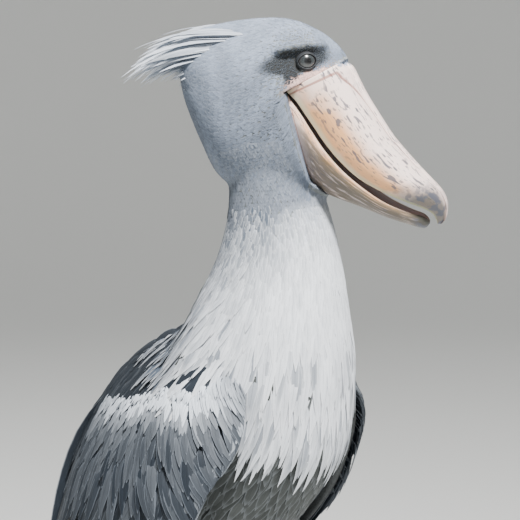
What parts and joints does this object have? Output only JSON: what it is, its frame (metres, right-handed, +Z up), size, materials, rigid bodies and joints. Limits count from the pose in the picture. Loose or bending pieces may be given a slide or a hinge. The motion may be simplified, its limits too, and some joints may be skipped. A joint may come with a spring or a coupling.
{
  "type": "shoebill",
  "caption": "Still, life-size shoebill standing on both feet, head turned a little to its left, with a great clog-shaped bill, short crest and folded wings.",
  "frame": {"origin": "middle of the bird's outline seen from above, on the floor it stands on", "axes": "+Z up, -Y the way the bird's body faces, +X to the bird's left"},
  "size_m": [0.3746, 0.585, 1.1946],
  "materials": {
    "plumage": "matte",
    "pale_plumage": "matte",
    "dark_plumage": "satin",
    "horn": "satin",
    "eye": "gloss",
    "leg_skin": "satin"
  },
  "bodies": {
    "root": {"head": "plumage", "neck": "plumage", "torso": "pale_plumage", "tail": "dark_plumage", "wing_right": "dark_plumage", "wing_left": "dark_plumage", "bill_upper": "horn", "bill_lower": "horn", "eye_right": "eye", "eye_left": "eye", "thigh_right": "plumage", "thigh_left": "plumage", "shank_right": "leg_skin", "shank_left": "leg_skin", "foot_right": "leg_skin", "foot_left": "leg_skin"}
  },
  "joints": []
}
